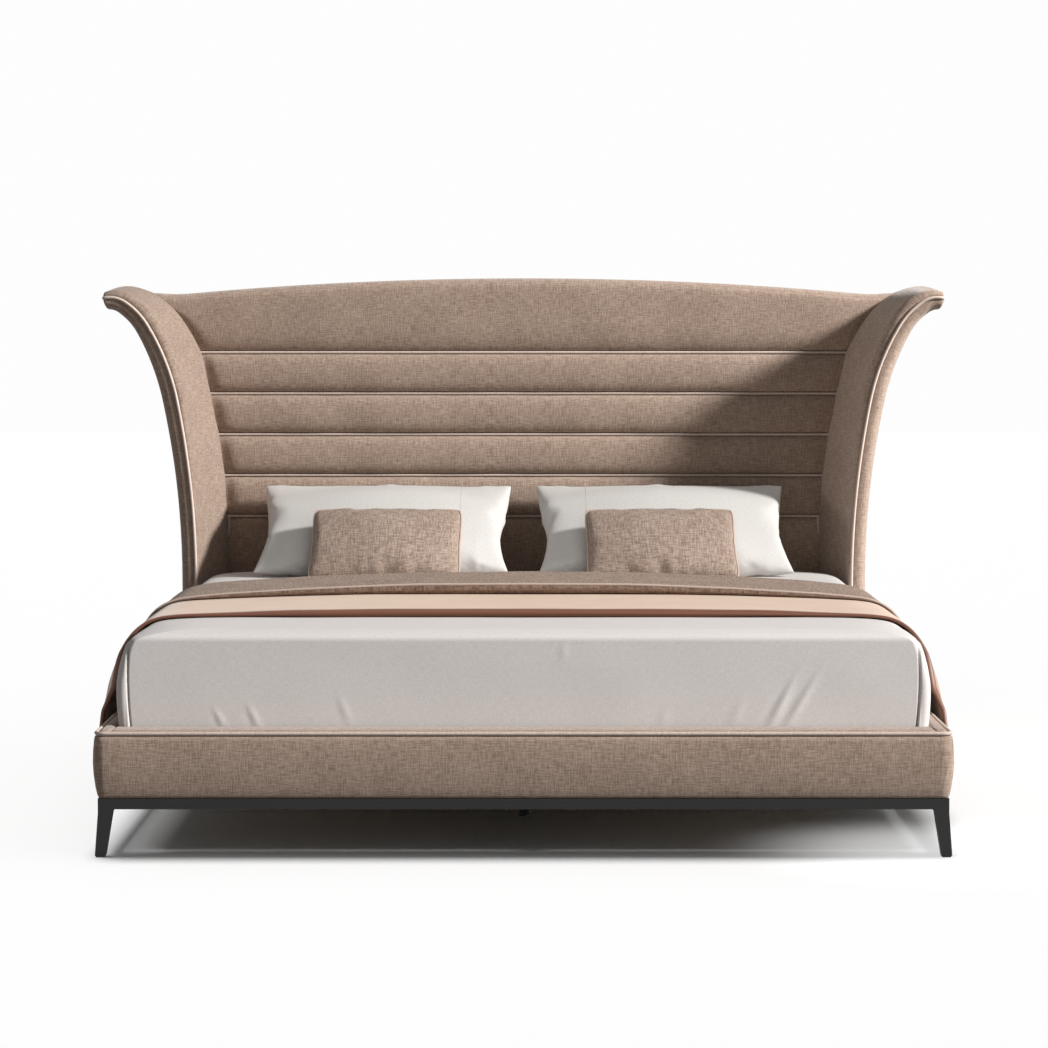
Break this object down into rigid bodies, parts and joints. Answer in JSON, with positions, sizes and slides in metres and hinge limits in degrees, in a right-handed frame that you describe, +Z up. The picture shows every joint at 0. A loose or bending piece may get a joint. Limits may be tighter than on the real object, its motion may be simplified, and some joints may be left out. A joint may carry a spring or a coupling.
{
  "type": "upholstered bed",
  "caption": "Upholstered slatted bed with a tall channelled headboard, flared side wings, tapered steel legs, mattress, sheet, blanket, coverlet, pillows and lumbar cushions.",
  "frame": {"origin": "on the floor, at the middle of the bed's length and width", "axes": "+X to the right seen from the foot end, +Y towards the headboard, +Z up"},
  "size_m": [2.3474, 2.206, 1.328],
  "materials": {
    "frame_fabric": "woven upholstery, matt",
    "piping_cord": "smooth covered cord",
    "back_cloth": "plain woven backing",
    "timber": "planed softwood",
    "plywood": "sanded plywood",
    "slat_wood": "varnished beech laminate",
    "black_steel": "satin powder coat",
    "zinc_steel": "zinc plated",
    "black_plastic": "moulded",
    "mattress_ticking": "knitted ticking",
    "sheet_cotton": "smooth cotton",
    "blanket_satin": "satin weave",
    "coverlet_weave": "padded weave",
    "pillow_cotton": "smooth cotton",
    "cushion_weave": "slub weave",
    "cushion_piping": "covered cord"
  },
  "bodies": {
    "bed_frame": {"beam_hangers": "black_steel", "bracket_bolts": "zinc_steel", "centre_beam": "black_steel", "centre_slat_holders": "black_plastic", "channel_pads": "frame_fabric", "channel_piping": "piping_cord", "corner_brackets": "black_steel", "front_rail_core": "timber", "front_rail_cover": "frame_fabric", "head_rail": "timber", "headboard_back_cover": "back_cloth", "headboard_board": "plywood", "headboard_bolts": "zinc_steel", "headboard_cross_rails": "timber", "headboard_lower_pad": "frame_fabric", "headboard_post_left": "timber", "headboard_post_right": "timber", "headboard_top_pad": "frame_fabric", "headboard_top_rail": "timber", "leg_front_left": "black_steel", "leg_front_right": "black_steel", "leg_glides": "black_plastic", "leg_rear_left": "black_steel", "leg_rear_right": "black_steel", "plinth_front": "black_steel", "plinth_rear": "black_steel", "plinth_sides": "black_steel", "rail_piping": "piping_cord", "side_rail_core_left": "timber", "side_rail_core_right": "timber", "side_rail_cover_left": "frame_fabric", "side_rail_cover_right": "frame_fabric", "side_slat_holders": "black_plastic", "slat_ledge_left": "black_steel", "slat_ledge_right": "black_steel", "slats_left": "slat_wood", "slats_right": "slat_wood", "support_leg_front": "black_steel", "support_leg_rear": "black_steel", "wing_bolts": "zinc_steel", "wing_core_left": "plywood", "wing_core_right": "plywood", "wing_outer_panel_left": "frame_fabric", "wing_outer_panel_right": "frame_fabric", "wing_pad_left": "frame_fabric", "wing_pad_right": "frame_fabric", "wing_piping": "piping_cord"},
    "mattress": {"mattress": "mattress_ticking", "fitted_sheet": "sheet_cotton", "blanket": "blanket_satin", "coverlet": "coverlet_weave"},
    "pillow_left": {"pillow_left": "pillow_cotton"},
    "pillow_right": {"pillow_right": "pillow_cotton"},
    "cushion_left": {"cushion_left": "cushion_weave", "cushion_piping_left": "cushion_piping"},
    "cushion_right": {"cushion_right": "cushion_weave", "cushion_piping_right": "cushion_piping"},
    "support_foot_front": {"support_foot_front": "black_plastic"},
    "support_foot_rear": {"support_foot_rear": "black_plastic"}
  },
  "joints": [
    {"name": "mattress_lift", "type": "slide", "parent": "bed_frame", "child": "mattress", "axis": [0, 0, 1], "range_m": [0, 0.3]},
    {"name": "pillow_left_lift", "type": "slide", "parent": "mattress", "child": "pillow_left", "axis": [0, 0, 1], "range_m": [0, 0.25]},
    {"name": "pillow_right_lift", "type": "slide", "parent": "mattress", "child": "pillow_right", "axis": [0, 0, 1], "range_m": [0, 0.25]},
    {"name": "cushion_left_lift", "type": "slide", "parent": "pillow_left", "child": "cushion_left", "axis": [0, 0, 1], "range_m": [0, 0.2]},
    {"name": "cushion_right_lift", "type": "slide", "parent": "pillow_right", "child": "cushion_right", "axis": [0, 0, 1], "range_m": [0, 0.2]},
    {"name": "front_foot_screw", "type": "slide", "parent": "bed_frame", "child": "support_foot_front", "axis": [0, 0, 1], "range_m": [-0.015, 0]},
    {"name": "rear_foot_screw", "type": "slide", "parent": "bed_frame", "child": "support_foot_rear", "axis": [0, 0, 1], "range_m": [-0.015, 0]}
  ]
}
